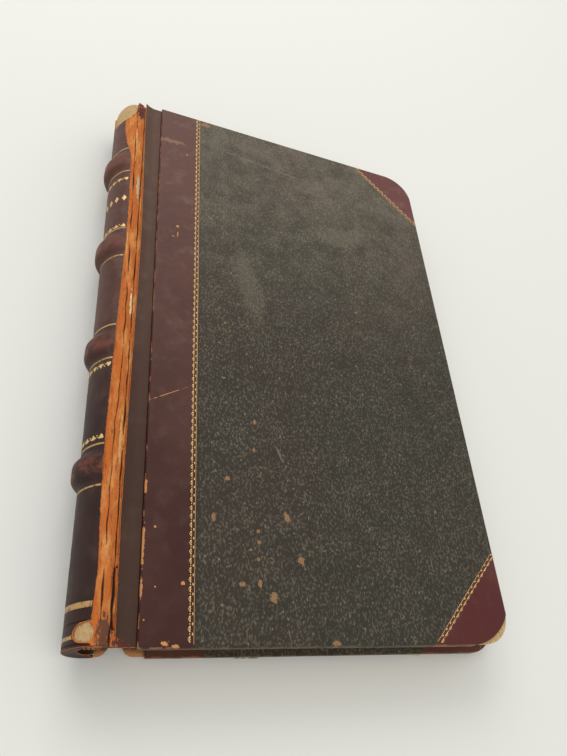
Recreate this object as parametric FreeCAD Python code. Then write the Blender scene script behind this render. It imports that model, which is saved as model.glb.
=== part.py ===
import FreeCAD, Part
import os
from FreeCAD import Vector

# A half-leather account book lying on its back cover, spine to the left, head away.
# Millimetres. The table is z = 0, +X runs from spine to fore-edge, +Y from tail to head.

# Covers
cover_length = 362.0        # head to tail
cover_width = 207.0         # spine edge to fore-edge
board_thickness = 3.6       # millboard
covering_thickness = 0.7    # leather or cloth glued over the board
head_corner_radius = 22.0   # worn corners of the fore-edge
tail_corner_radius = 17.0
rim_rounding = 1.5          # worn arris round the outer face
pastedown_margin = 5.0      # turned-in covering left showing round the pastedown
leather_strip_width = 27.5  # spine leather carried on to each board
corner_leg = 52.0           # leather corner piece along each edge
cocked_shift = 10.0         # the back cover lies this much further out than the front one

# Leaves
leaf_margin = 4.5           # the leaves stand back from the covers on three sides
block_thickness = 22.1
flyleaf_thickness = 0.3
fore_edge_hollow = 5.0
cover_clearance = 0.3       # between each cover and its flyleaf
shoulder_foot = 6.0         # from the front cover's spine edge back to the foot of the shoulder

# Spine: an oval section of four arcs, round side to the left
spine_set_back = 18.0       # centre of the oval behind the front cover's spine edge
spine_half_depth = 12.0
spine_half_height = 17.75
shoulder_radius = 8.25      # small arcs at the top and bottom of the oval
spine_lift = 1.3            # lowest point of the spine above the table
spine_tail_margin = 1.0     # from the covers' tail edge to the spine's tail
spine_head_margin = 7.5     # worn short at the head
spine_leather_thickness = 0.9
shell_thickness = 2.2       # rolled millboard under the leather
lining_thickness = 0.6      # tapes and lining across the backs of the sections
cap_thickness = 1.0         # leather drawn over the ends of the shell
cap_rounding = 0.8
mouth_set_back = 14.0       # lips of the shell behind the front cover's spine edge
lining_set_back = 14.5      # edges of the tapes and lining

# Raised bands, stiff strips under the leather
band_count = 4
first_band_distance = 83.0  # from the tail edge
band_spacing = 71.3
band_width = 17.0
band_height = 3.7           # at the middle of the spine
band_end_height = 0.8       # pared down towards the joints
band_set_back = 21.4        # pared ends behind the front cover's spine edge
band_profile = ((-1.0, 0.0), (-0.72, 0.55), (-0.38, 0.96), (0.0, 1.0),
                (0.38, 0.96), (0.72, 0.55), (1.0, 0.0))

# Sewing
tape_count = 4
tape_width = 24.0
first_tape_distance = 58.0  # from the tail edge
tape_spacing = 80.0

# Joints
raw_leather_thickness = 0.55  # what is left where the grain has peeled off the front joint
grain_lift = 0.1            # the grained strip has come loose from the raw layer by this much
joint_clearance = 0.4       # between the joint leather and the cover that swings past it
front_groove_depth = 2.2
back_groove_depth = 0.9
front_joint_head_margin = 1.5
front_hinge_set_back = 8.0  # fold of the front joint
front_hinge_rise = 2.2      # its height over the cover's outer face
back_hinge_set_back = 9.0   # fold of the back joint, behind the back cover's spine edge

# Torn edge of the spine leather along the front joint, as distances behind the front cover's
# spine edge, each with its distance from the tail edge or, towards the head, from the head edge
torn_from_tail = ((-12.0, 20.0), (14.0, 20.6), (33.0, 19.6), (65.0, 20.8), (102.0, 21.1),
                  (157.0, 20.3), (200.0, 19.4), (246.0, 18.7))
torn_from_head = ((77.0, 19.3), (59.0, 20.2), (49.0, 22.6), (28.0, 24.3), (-13.0, 24.6))
# Ragged edge of the grained strip that is left in the groove, in the same distances
strip_from_tail = ((-12.0, 9.4), (60.0, 10.6), (129.0, 10.2), (200.0, 9.4))
strip_from_head = ((120.0, 9.2), (62.0, 10.6), (20.0, 11.6), (-12.0, 11.4))
# Leather lost at the head, as a closed outline in distances from the head edge and behind the cover
lost_at_head = ((24.0, 33.0), (25.0, 26.5), (22.5, 22.0), (17.0, 18.6), (10.0, 17.6),
                (-4.0, 17.2), (-6.0, 33.0))
# Leather lost at the tail of the spine
tail_patch_distance = 6.6
tail_patch_set_back = 23.2
tail_patch_length = 8.8
tail_patch_width = 8.0
# Leather worn off the front cover's tail corner, in from the fore-edge and up from the tail
worn_corner_reach = 26.0
worn_corner_rise = 17.0
worn_corner_depth = 3.4

# Places worked out from the sizes above
cover_thickness = board_thickness + 2 * covering_thickness
leaves_thickness = block_thickness + 2 * flyleaf_thickness
book_thickness = 2 * cover_thickness + 2 * cover_clearance + leaves_thickness
left_reach = spine_set_back + spine_half_depth + band_height
right_reach = cover_width + cocked_shift
front_x = (left_reach - right_reach) / 2
back_x = front_x + cocked_shift
tail_y = -cover_length / 2
head_y = cover_length / 2
spine_x = front_x - spine_set_back
spine_z = spine_lift + spine_half_height
spine_tail_y = tail_y + spine_tail_margin
spine_head_y = head_y - spine_head_margin
shell_inset = spine_leather_thickness
lining_inset = shell_inset + shell_thickness
block_inset = lining_inset + lining_thickness
block_bottom_z = cover_thickness + cover_clearance + flyleaf_thickness
block_top_z = block_bottom_z + block_thickness
block_tail_y = tail_y + leaf_margin
block_head_y = head_y - leaf_margin
far = cover_length


def box(x0, x1, y0, y1, z0, z1):
    return Part.makeBox(x1 - x0, y1 - y0, z1 - z0, Vector(x0, y0, z0))


def save(shape, name):
    solids = shape.Solids
    result = solids[0] if len(solids) == 1 else Part.makeCompound(solids)
    result.exportStep(os.path.join("parts", name + ".step"))


# Covers

def cover_outline(left, inset, z):
    """Cover seen from above, straight at the spine, with two rounded corners at the fore-edge."""
    x0 = left + inset
    x1 = left + cover_width - inset
    y0 = tail_y + inset
    y1 = head_y - inset
    tail_r = tail_corner_radius - inset
    head_r = head_corner_radius - inset
    bend = 0.5 ** 0.5
    tail_mid = Vector(x1 - tail_r + tail_r * bend, y0 + tail_r - tail_r * bend, z)
    head_mid = Vector(x1 - head_r + head_r * bend, y1 - head_r + head_r * bend, z)
    edges = [
        Part.LineSegment(Vector(x0, y0, z), Vector(x1 - tail_r, y0, z)).toShape(),
        Part.Arc(Vector(x1 - tail_r, y0, z), tail_mid, Vector(x1, y0 + tail_r, z)).toShape(),
        Part.LineSegment(Vector(x1, y0 + tail_r, z), Vector(x1, y1 - head_r, z)).toShape(),
        Part.Arc(Vector(x1, y1 - head_r, z), head_mid, Vector(x1 - head_r, y1, z)).toShape(),
        Part.LineSegment(Vector(x1 - head_r, y1, z), Vector(x0, y1, z)).toShape(),
        Part.LineSegment(Vector(x0, y1, z), Vector(x0, y0, z)).toShape(),
    ]
    return Part.Face(Part.Wire(edges))


def cover_slab(left, outer_z, inward, inset, shallow, deep):
    """Layer of a cover between two depths below its outer face; inward is -1 or +1 along Z."""
    face = cover_outline(left, inset, outer_z + inward * shallow)
    return face.extrude(Vector(0, 0, inward * (deep - shallow)))


def round_rim(slab, z, radius):
    rim = [edge for edge in slab.Edges
           if abs(edge.BoundBox.ZMin - z) < 0.001 and abs(edge.BoundBox.ZMax - z) < 0.001]
    return slab.makeFillet(radius, rim)


def corner_prism(left, head_side):
    """Everything beyond the slanting edge of a leather corner piece."""
    x1 = left + cover_width
    edge_y = head_y if head_side else tail_y
    out = 1.0 if head_side else -1.0
    beyond = cover_thickness
    a = Vector(x1 - corner_leg - beyond, edge_y + out * beyond, 0)
    b = Vector(x1 + beyond, edge_y - out * (corner_leg + beyond), 0)
    c = Vector(x1 + beyond, edge_y + out * beyond, 0)
    face = Part.Face(Part.makePolygon([a, b, c, a]))
    return face.extrude(Vector(0, 0, book_thickness))


def worn_corner_prism(left):
    """Leather rubbed away round the tail corner, outside a bowed line."""
    x1 = left + cover_width
    start = Vector(x1 - worn_corner_reach, tail_y, 0)
    end = Vector(x1, tail_y + worn_corner_rise, 0)
    across = end - start
    middle = (start + end) * 0.5
    outward = Vector(across.y, -across.x, 0).normalize()
    corner_gap = (Vector(x1, tail_y, 0) - middle).dot(outward)
    rounding_gap = tail_corner_radius * (2 ** 0.5 - 1)
    bow = middle + outward * (corner_gap - rounding_gap - worn_corner_depth)
    far_point = Vector(x1 + corner_leg, tail_y - corner_leg, 0)
    edges = [
        Part.Arc(start, bow, end).toShape(),
        Part.LineSegment(end, far_point).toShape(),
        Part.LineSegment(far_point, start).toShape(),
    ]
    return Part.Face(Part.Wire(edges)).extrude(Vector(0, 0, book_thickness))


def cover_parts(side, left, outer_z, inward, worn):
    board = cover_slab(left, outer_z, inward, covering_thickness,
                       covering_thickness, covering_thickness + board_thickness)
    pastedown = cover_slab(left, outer_z, inward, pastedown_margin,
                           covering_thickness + board_thickness, cover_thickness)
    whole = cover_slab(left, outer_z, inward, 0.0, 0.0, cover_thickness)
    whole = round_rim(whole, outer_z, rim_rounding)
    covering = whole.cut(board).cut(pastedown)
    strip_side = box(left - far, left + leather_strip_width, -far, far, -far, far)
    head_corner_side = corner_prism(left, True)
    tail_corner_side = corner_prism(left, False)
    tail_corner = covering.common(tail_corner_side)
    if worn:
        tail_corner = tail_corner.cut(worn_corner_prism(left))
    cloth = covering.cut(strip_side).cut(head_corner_side).cut(tail_corner_side)
    save(board, side + "_board")
    save(pastedown, side + "_pastedown")
    save(covering.common(strip_side), side + "_board_leather")
    save(covering.common(head_corner_side), side + "_head_corner")
    save(tail_corner, side + "_tail_corner")
    save(cloth, side + "_cloth_side")


# Spine

def oval(inset, y, swell=0.0):
    """Section of the spine in the plane y, set in by inset; swell from 0 to 1 adds a band.

    The shoulder arcs are centred rise above and below the oval's centre. The flank arcs are
    centred past it, where they meet the shoulder arcs without a corner.
    """
    depth = spine_half_depth + swell * band_height
    height = spine_half_height + swell * band_end_height
    longer = height - depth
    rise = height - shoulder_radius
    past = longer * (2 * rise - longer) / (2 * (rise - longer))
    slant = (past ** 2 + rise ** 2) ** 0.5
    meet_x = (depth + past - inset) * past / slant - past
    meet_z = (depth + past - inset) * rise / slant
    side = depth - inset
    top = height - inset
    ring = [(-side, 0), (-meet_x, meet_z), (0, top), (meet_x, meet_z),
            (side, 0), (meet_x, -meet_z), (0, -top), (-meet_x, -meet_z)]
    points = [Vector(spine_x + x, y, spine_z + z) for x, z in ring]
    arcs = [Part.Arc(points[i - 1], points[i], points[(i + 1) % 8]).toShape() for i in (0, 2, 4, 6)]
    return Part.Wire(arcs)


def spine_bar(inset, y0, y1):
    return Part.Face(oval(inset, y0)).extrude(Vector(0, y1 - y0, 0))


def spine_channel(outer_inset, inner_inset, y0, y1, set_back):
    """Length of C-shaped section between two insets, open towards the covers."""
    ring = spine_bar(outer_inset, y0, y1).cut(spine_bar(inner_inset, y0, y1))
    return ring.cut(box(front_x - set_back, far, -far, far, -far, far))


def band_y(index):
    return tail_y + first_band_distance + index * band_spacing


def band_half(inset):
    return band_width / 2 - inset


def band_bar(inset, index):
    """Whole oval swelling of one raised band."""
    sections = [oval(inset, band_y(index) + along * band_half(inset), swell)
                for along, swell in band_profile]
    return Part.makeLoft(sections, True, False)


def joint_side():
    """Space on the covers' side of the raised bands' pared ends."""
    return box(front_x - band_set_back, far, -far, far, -far, far)


def banded_core():
    """Shell and raised bands together, solid through."""
    start = spine_tail_y + cap_thickness
    lengths = []
    for index in range(band_count):
        half = band_half(shell_inset)
        low = band_y(index) - half
        high = band_y(index) + half
        swelling = band_bar(shell_inset, index).cut(joint_side())
        lengths.append(spine_bar(shell_inset, start, low))
        lengths.append(swelling.fuse(spine_bar(shell_inset, low, high)))
        start = high
    lengths.append(spine_bar(shell_inset, start, spine_head_y - cap_thickness))
    return lengths[0].multiFuse(lengths[1:])


def banded_skin():
    """Outside of the covered spine, solid through, with softened ends."""
    start = spine_tail_y + cap_rounding
    end = spine_head_y - cap_rounding
    lengths = [Part.makeLoft([oval(cap_rounding, spine_tail_y), oval(0.0, start)], True, True)]
    for index in range(band_count):
        lengths.append(spine_bar(0.0, start, band_y(index) - band_half(0.0)))
        lengths.append(band_bar(0.0, index))
        start = band_y(index) + band_half(0.0)
    lengths.append(spine_bar(0.0, start, end))
    lengths.append(Part.makeLoft([oval(0.0, end), oval(cap_rounding, spine_head_y)], True, True))
    return lengths[0].multiFuse(lengths[1:])


def above_spine(corners):
    """Prism over a closed polygon of (x, y) corners, from the middle of the spine upwards."""
    points = [Vector(x, y, spine_z) for x, y in corners]
    points.append(points[0])
    return Part.Face(Part.makePolygon(points)).extrude(Vector(0, 0, book_thickness))


def right_of_edge(from_tail, from_head):
    """Space to the right of a ragged edge, above the middle of the spine."""
    edge = [(front_x - back, tail_y + up) for up, back in from_tail]
    edge += [(front_x - back, head_y - down) for down, back in from_head]
    return above_spine(edge + [(front_x, edge[-1][1]), (front_x, edge[0][1])])


def right_of_tear():
    return right_of_edge(torn_from_tail, torn_from_head)


def lost_leather():
    head = above_spine([(front_x - back, head_y - down) for down, back in lost_at_head])
    centre = Vector(front_x - tail_patch_set_back, tail_y + tail_patch_distance, spine_z)
    ellipse = Part.Ellipse(centre + Vector(0, tail_patch_length / 2, 0),
                           centre + Vector(tail_patch_width / 2, 0, 0), centre)
    tail = Part.Face(Part.Wire(ellipse.toShape())).extrude(Vector(0, 0, book_thickness))
    return head.fuse(tail)


def make_shell():
    shell = spine_channel(shell_inset, lining_inset, spine_tail_y + cap_thickness,
                          spine_head_y - cap_thickness, mouth_set_back)
    save(shell, "spine_shell")


def raised_band(index):
    reach = band_half(shell_inset)
    shell_bar = spine_bar(shell_inset, band_y(index) - reach, band_y(index) + reach)
    return band_bar(shell_inset, index).cut(shell_bar).cut(joint_side())


def make_bands():
    for index in range(band_count):
        save(raised_band(index), "raised_band_%d" % (index + 1))


def make_spine_leather():
    below_mouth = box(front_x - mouth_set_back, far, -far, far, -far, spine_z)
    leather = banded_skin().cut(banded_core()).cut(spine_bar(lining_inset, -far, far))
    leather = leather.cut(below_mouth).cut(right_of_tear()).cut(lost_leather())
    save(leather, "spine_leather")


# Joints

def shoulder_z(inset, set_back, side):
    """Height of the shoulder at a distance behind the front cover's spine edge; side is +1 or -1."""
    along = spine_set_back - set_back
    rise = spine_half_height - shoulder_radius
    return spine_z + side * (rise + ((shoulder_radius - inset) ** 2 - along ** 2) ** 0.5)


def ribbon(route, drop, y0, y1):
    """Strip of leather: a smooth line through the route's points and its copy drop below."""
    upper = Part.BSplineCurve()
    upper.interpolate([Vector(x, y0, z) for x, z in route])
    lower = upper.copy()
    lower.translate(Vector(0, 0, -drop))
    start = Vector(route[0][0], y0, route[0][1])
    end = Vector(route[-1][0], y0, route[-1][1])
    down = Vector(0, 0, -drop)
    edges = [
        upper.toShape(),
        Part.LineSegment(end, end + down).toShape(),
        lower.toShape(),
        Part.LineSegment(start + down, start).toShape(),
    ]
    return Part.Face(Part.Wire(Part.__sortEdges__(edges))).extrude(Vector(0, y1 - y0, 0))


def make_front_joint():
    """The raw layer from the torn edge across the groove, and the grained strip left on it."""
    grain = spine_leather_thickness - raw_leather_thickness
    on_shell = spine_channel(grain, shell_inset, spine_tail_y + cap_thickness,
                             spine_head_y - cap_thickness, mouth_set_back)
    on_shell = on_shell.common(right_of_tear())
    for index in range(band_count):
        on_shell = on_shell.cut(raised_band(index))
    start_z = shoulder_z(grain, mouth_set_back, 1)
    drop = start_z - shoulder_z(shell_inset, mouth_set_back, 1)
    floor_z = book_thickness - front_groove_depth
    fold_x = front_x - front_hinge_set_back
    route = [
        (front_x - mouth_set_back, start_z),
        (fold_x - (mouth_set_back - front_hinge_set_back) * 0.5, (start_z + floor_z) * 0.5),
        (fold_x, floor_z + front_groove_depth * 0.15),
        (fold_x + front_hinge_set_back * 0.5, floor_z),
        (front_x - joint_clearance, floor_z),
    ]
    end_y = head_y - front_joint_head_margin
    raw = on_shell.fuse(ribbon(route, drop, spine_tail_y, end_y)).cut(lost_leather())
    over = [(x, z + grain_lift + grain) for x, z in route]
    strip = ribbon(over, grain, spine_tail_y, end_y)
    strip = strip.common(right_of_edge(strip_from_tail, strip_from_head))
    save(raw, "front_joint_raw_layer")
    save(strip, "front_joint_leather")


def make_back_joint():
    start_z = shoulder_z(spine_leather_thickness, mouth_set_back, -1)
    drop = start_z - shoulder_z(0.0, mouth_set_back, -1)
    end_z = back_groove_depth + drop
    start_x = front_x - mouth_set_back
    fold_x = back_x - back_hinge_set_back
    route = [
        (start_x, start_z),
        ((start_x + fold_x) * 0.5, end_z + (start_z - end_z) * 0.35),
        (fold_x, end_z),
        (back_x - joint_clearance, end_z),
    ]
    save(ribbon(route, drop, spine_tail_y, spine_head_y), "back_joint_leather")


# Leaves and sewing

def make_text_block():
    shoulder_x = front_x - lining_set_back
    shoulder_top = Vector(shoulder_x, block_tail_y, shoulder_z(block_inset, lining_set_back, 1))
    shoulder_low = Vector(shoulder_x, block_tail_y, shoulder_z(block_inset, lining_set_back, -1))
    foot_top = Vector(front_x - shoulder_foot, block_tail_y, block_top_z)
    foot_low = Vector(front_x - shoulder_foot, block_tail_y, block_bottom_z)
    fore_top = Vector(front_x + cover_width - leaf_margin, block_tail_y, block_top_z)
    fore_low = Vector(back_x + cover_width - leaf_margin, block_tail_y, block_bottom_z)
    fore_mid = (fore_top + fore_low) * 0.5 - Vector(fore_edge_hollow, 0, 0)
    edges = [
        Part.LineSegment(shoulder_top, shoulder_low).toShape(),
        Part.LineSegment(shoulder_low, foot_low).toShape(),
        Part.LineSegment(foot_low, fore_low).toShape(),
        Part.Arc(fore_low, fore_mid, fore_top).toShape(),
        Part.LineSegment(fore_top, foot_top).toShape(),
        Part.LineSegment(foot_top, shoulder_top).toShape(),
    ]
    leaves = Part.Face(Part.Wire(edges)).extrude(Vector(0, block_head_y - block_tail_y, 0))
    back = spine_bar(block_inset, block_tail_y, block_head_y)
    back = back.cut(box(front_x - lining_set_back, far, -far, far, -far, far))
    save(leaves.fuse(back).removeSplitter(), "text_block")


def make_flyleaves():
    x0 = front_x - shoulder_foot
    front = box(x0, front_x + cover_width - leaf_margin, block_tail_y, block_head_y,
                block_top_z, block_top_z + flyleaf_thickness)
    back = box(x0, back_x + cover_width - leaf_margin, block_tail_y, block_head_y,
               block_bottom_z - flyleaf_thickness, block_bottom_z)
    save(front, "front_flyleaf")
    save(back, "back_flyleaf")


def make_tapes_and_lining():
    """Linen tapes across the sewn backs, with a strip of lining in each space between them."""
    lining_start = spine_tail_y + cap_thickness
    for index in range(tape_count):
        tape_start = tail_y + first_tape_distance + index * tape_spacing - tape_width / 2
        tape = spine_channel(lining_inset, block_inset, tape_start, tape_start + tape_width,
                             lining_set_back)
        lining = spine_channel(lining_inset, block_inset, lining_start, tape_start, lining_set_back)
        save(tape, "sewing_tape_%d" % (index + 1))
        save(lining, "spine_lining_%d" % (index + 1))
        lining_start = tape_start + tape_width
    last = spine_channel(lining_inset, block_inset, lining_start, spine_head_y - cap_thickness,
                         lining_set_back)
    save(last, "spine_lining_%d" % (tape_count + 1))


def main():
    os.makedirs("parts", exist_ok=True)
    cover_parts("front", front_x, book_thickness, -1, True)
    cover_parts("back", back_x, 0.0, 1, False)
    make_shell()
    make_bands()
    make_spine_leather()
    make_front_joint()
    make_back_joint()
    make_text_block()
    make_flyleaves()
    make_tapes_and_lining()
    print("front cover's spine edge x %.3f, back cover's %.3f" % (front_x, back_x))
    print("front hinge x %.3f z %.3f" % (front_x - front_hinge_set_back, book_thickness + front_hinge_rise))
    print("back hinge x %.3f z 0" % (back_x - back_hinge_set_back))
    print("book thickness %.3f, spine centre x %.3f z %.3f" % (book_thickness, spine_x, spine_z))


main()
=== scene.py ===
# %% [markdown]
# A half-leather account book, about a hundred years old, lies on its back cover. Its spine
# leather is drawn over a stiff rolled board and four raised bands, and it has torn along the
# front joint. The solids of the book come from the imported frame. This lesson dresses them:
# it keeps the boards and cloth as they are and gives them worn finishes, and it makes new
# pieces where leather is thin, torn or bent.

# %% Frame
import math

import bmesh
import bpy
import numpy as np
from mathutils import Matrix, Vector, noise


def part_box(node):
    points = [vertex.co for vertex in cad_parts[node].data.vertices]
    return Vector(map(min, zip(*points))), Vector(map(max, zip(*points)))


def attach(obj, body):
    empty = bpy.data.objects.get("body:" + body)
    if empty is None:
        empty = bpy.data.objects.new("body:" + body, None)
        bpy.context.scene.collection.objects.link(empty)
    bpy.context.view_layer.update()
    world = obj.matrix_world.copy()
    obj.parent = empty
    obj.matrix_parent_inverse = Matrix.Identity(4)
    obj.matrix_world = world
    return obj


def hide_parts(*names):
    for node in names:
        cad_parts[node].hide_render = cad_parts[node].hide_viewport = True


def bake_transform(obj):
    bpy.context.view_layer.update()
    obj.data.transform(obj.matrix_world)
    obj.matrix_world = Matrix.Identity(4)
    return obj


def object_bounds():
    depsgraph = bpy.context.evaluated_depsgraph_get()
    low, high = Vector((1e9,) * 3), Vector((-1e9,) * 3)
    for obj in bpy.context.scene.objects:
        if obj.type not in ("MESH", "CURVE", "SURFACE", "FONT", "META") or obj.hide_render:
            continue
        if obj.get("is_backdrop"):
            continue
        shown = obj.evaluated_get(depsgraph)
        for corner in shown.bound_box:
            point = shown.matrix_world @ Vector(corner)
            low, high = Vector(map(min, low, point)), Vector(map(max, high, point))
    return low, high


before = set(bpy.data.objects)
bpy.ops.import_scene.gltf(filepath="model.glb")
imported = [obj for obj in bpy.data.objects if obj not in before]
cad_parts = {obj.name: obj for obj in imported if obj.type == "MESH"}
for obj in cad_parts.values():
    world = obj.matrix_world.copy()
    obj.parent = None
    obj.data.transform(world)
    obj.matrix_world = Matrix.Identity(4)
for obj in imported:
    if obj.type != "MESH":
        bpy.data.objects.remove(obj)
cad_box = [list(corner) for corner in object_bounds()]
mm = 0.001
print("frame", [round(size / mm, 1) for size in np.subtract(cad_box[1], cad_box[0])], "mm")

# %% [markdown]
# Places on the book are read from the frame. Distances that follow are given the way a
# bookbinder would: up from the tail edge, and back or forward from the front cover's spine
# edge.

# %% Places on the book
cover_low, cover_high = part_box("front_board_leather")
front_x = cover_low.x
tail_y, head_y = cover_low.y, cover_high.y
cover_top = cover_high.z
fore_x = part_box("front_head_corner")[1].x
back_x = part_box("back_board_leather")[0].x
cover_length = head_y - tail_y
spine_x = front_x - 18 * mm
spine_z = 19.05 * mm
print("covers %.0f x %.0f mm" % ((fore_x - front_x) / mm, cover_length / mm))

# %% [markdown]
# Every finish is a small graph of nodes. One helper adds a node and feeds its inputs, and
# short helpers on top of it give the words that the finishes are written in: a field of
# noise, a fade between two values, a mix of two colours and a worn spot. Patterns are laid
# out in Object coordinates, which are metres on the book itself, so a grain has its real size.

# %% Node helpers
def linear(colour):
    """Scene-linear colour for screen values from 0 to 255."""
    parts = [part / 255 for part in colour]
    parts = [part / 12.92 if part < 0.04045 else ((part + 0.055) / 1.055) ** 2.4 for part in parts]
    return (*parts, 1.0)


def add(tree, kind, inputs, output=0, **settings):
    """One node, its inputs fed with values or sockets, and the socket that comes out of it."""
    node = tree.nodes.new("ShaderNode" + kind)
    for name, value in settings.items():
        setattr(node, name, value)
    for key, value in inputs.items():
        if isinstance(value, bpy.types.NodeSocket):
            tree.links.new(value, node.inputs[key])
        else:
            node.inputs[key].default_value = value
    return node.outputs[output]


def maths(tree, operation, first, second=0.0, third=0.0):
    return add(tree, "Math", {0: first, 1: second, 2: third}, operation=operation)


def fade(tree, value, start, end):
    """0 at start, 1 at end, smooth between them; start may be the larger."""
    return add(tree, "MapRange", {"Value": value, "From Min": start, "From Max": end},
               interpolation_type="SMOOTHSTEP")


def mixed(tree, share, first, second):
    return add(tree, "Mix", {0: share, 6: first, 7: second}, 2, data_type="RGBA")


def place_on(tree, centre=(0, 0, 0), turn=0.0, stretch=(1, 1, 1)):
    """Object coordinates moved, turned about Z and stretched."""
    here = add(tree, "TexCoord", {}, "Object")
    return add(tree, "Mapping", {"Vector": here, "Location": centre, "Rotation": (0, 0, turn),
                                 "Scale": stretch})


def field(tree, place, size, detail=3.0, roughness=0.55, distortion=0.0):
    """Noise whose lumps are about size metres across."""
    return add(tree, "TexNoise", {"Vector": place, "Scale": 1 / size, "Detail": detail,
                                  "Roughness": roughness, "Distortion": distortion})


def axis(tree, place, index):
    return add(tree, "SeparateXYZ", {0: place}, index)


def bumped(tree, height, depth, below=None):
    """Normal of a surface that rises by depth metres where height is 1."""
    inputs = {"Height": height, "Distance": depth, "Strength": 1.0}
    if below is not None:
        inputs["Normal"] = below
    return add(tree, "Bump", inputs)


def finish_named(name):
    """New material, its node tree and its shader."""
    material = bpy.data.materials.new(name)
    material.use_nodes = True
    tree = material.node_tree
    shader = tree.nodes["Principled BSDF"]
    return material, tree, shader


def feed(tree, shader, **sockets):
    for name, value in sockets.items():
        socket = shader.inputs[name.replace("_", " ")]
        if isinstance(value, bpy.types.NodeSocket):
            tree.links.new(value, socket)
        else:
            socket.default_value = value


# %% [markdown]
# Wear sits at places: along edges, and in spots. A spot is an ellipse on the cover whose rim
# is broken up by noise, given from the cover's tail corner at the spine. Wear could be painted
# on a picture instead, but distances stay sharp at any size and follow the book's own measures.

# %% Wear helpers
def on_cover(x, y):
    """Point of the front cover's face, from its spine edge and its tail edge, in millimetres."""
    return front_x + x * mm, tail_y + y * mm


def spot(tree, here, ragged, x, y, wide, long, turn=0.0):
    """1 inside an ellipse wide by long millimetres, 0 outside, with a ragged rim."""
    centre_x, centre_y = on_cover(x, y)
    east = maths(tree, "SUBTRACT", axis(tree, here, 0), centre_x)
    north = maths(tree, "SUBTRACT", axis(tree, here, 1), centre_y)
    cos, sin = math.cos(turn), math.sin(turn)
    across = maths(tree, "ADD", maths(tree, "MULTIPLY", east, cos), maths(tree, "MULTIPLY", north, sin))
    along = maths(tree, "SUBTRACT", maths(tree, "MULTIPLY", north, cos), maths(tree, "MULTIPLY", east, sin))
    across = maths(tree, "DIVIDE", across, wide * mm / 2)
    along = maths(tree, "DIVIDE", along, long * mm / 2)
    gap = maths(tree, "SQRT", maths(tree, "ADD", maths(tree, "POWER", across, 2.0),
                                    maths(tree, "POWER", along, 2.0)))
    gap = maths(tree, "ADD", gap, maths(tree, "MULTIPLY", maths(tree, "SUBTRACT", ragged, 0.5), 2.8))
    return fade(tree, gap, 1.05, 0.8)


def spots(tree, here, ragged, marks):
    """All the spots of a list at once."""
    found = spot(tree, here, ragged, *marks[0])
    for mark in marks[1:]:
        found = maths(tree, "MAXIMUM", found, spot(tree, here, ragged, *mark))
    return found


def near_plane(tree, here, index, at, reach, ragged, amount):
    """1 at the plane where coordinate index is at, fading out over reach, with a ragged front."""
    gap = maths(tree, "ABSOLUTE", maths(tree, "SUBTRACT", axis(tree, here, index), at))
    gap = maths(tree, "ADD", gap, maths(tree, "MULTIPLY", maths(tree, "SUBTRACT", ragged, 0.5), amount))
    return fade(tree, gap, reach, reach * 0.4)


# %% [markdown]
# The leather is maroon calf gone brown. Its colour drifts over the skin, its grain is a fine
# bump, and a dusty bloom lies on it. Towards the head it is painted lighter and dustier, a painted
# sheen and light from the window there. Every skin on the book comes from one function, because
# they are one leather in different states.

# %% Leather
raw_orange = linear((186, 112, 60))
raw_pale = linear((210, 156, 106))
# Pale grey for dust, and for a painted sheen where it is laid on more thickly towards the head.
dust_sheen_grey = linear((146, 130, 116))


def leather(name, deep, light, wear=None, tint=None, gloss=0.5, head_dust_and_sheen=0.25):
    """Grained leather, painted lighter and dustier to the head as light and sheen from the window.
    The grain is gone where wear(tree, here, ragged) is 1, and tint(tree, here, ragged, colour) may stain
    it."""
    material, tree, shader = finish_named(name)
    here = place_on(tree)
    drift = field(tree, here, 45 * mm, 4.0)
    cloud = field(tree, here, 9 * mm, 5.0, 0.6)
    ragged = field(tree, here, 2.2 * mm, 4.0, 0.65)
    grain = field(tree, place_on(tree, stretch=(1, 0.8, 1)), 0.55 * mm, 3.0, 0.6)
    # Towards the head the colour is painted lighter: painted light and sheen from the window beyond the
    # head.
    headward = fade(tree, axis(tree, here, 1), tail_y, head_y)
    tone_and_head_light = maths(tree, "ADD", maths(tree, "MULTIPLY", headward, 0.5), maths(tree, "MULTIPLY", drift, 0.6))
    colour = mixed(tree, fade(tree, tone_and_head_light, 0.2, 0.85), linear(deep), linear(light))
    # The dust bloom is laid on more thickly towards the head: real dust, with a painted sheen.
    dust_and_sheen = maths(tree, "MULTIPLY", fade(tree, cloud, 0.45, 0.8),
                    maths(tree, "MULTIPLY_ADD", headward, head_dust_and_sheen, 0.06))
    colour = mixed(tree, dust_and_sheen, colour, dust_sheen_grey)
    if tint is not None:
        colour = tint(tree, here, ragged, colour)
    height = maths(tree, "ADD", maths(tree, "MULTIPLY", grain, 0.6), maths(tree, "MULTIPLY", cloud, 0.4))
    roughness = maths(tree, "MULTIPLY_ADD", fade(tree, cloud, 0.2, 0.8), 0.2, gloss - 0.1)
    if wear is not None:
        worn = wear(tree, here, ragged)
        fibre = mixed(tree, ragged, raw_orange, raw_pale)
        colour = mixed(tree, worn, colour, fibre)
        height = maths(tree, "SUBTRACT", height, maths(tree, "MULTIPLY", worn, 0.7))
        roughness = maths(tree, "MAXIMUM", roughness, maths(tree, "MULTIPLY", worn, 0.9))
    feed(tree, shader, Base_Color=colour, Roughness=roughness,
         Normal=bumped(tree, height, 0.16 * mm), Specular_IOR_Level=0.24)
    return material


# %% [markdown]
# Where the leather is rubbed along an edge, the dyed grain is gone and the orange raw leather
# shows. The rim is masked by its distance from the cover's edges, and the chips are spots at
# the places where the real ones are.

# %% Wear of the leather
def top_arris(tree, here):
    """1 on the rounded upper rim of the front cover, 0 down its sides."""
    return fade(tree, axis(tree, here, 2), cover_top - 1.3 * mm, cover_top - 0.6 * mm)


def rubbed_rim(tree, here, ragged, edges, unevenness):
    """1 along the cover's edges, each given as the index of a coordinate and its value."""
    rim = 0.0
    for index, place in edges:
        edge = near_plane(tree, here, index, place, 0.7 * mm, ragged, unevenness)
        rim = maths(tree, "MAXIMUM", rim, edge)
    return rim


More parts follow.
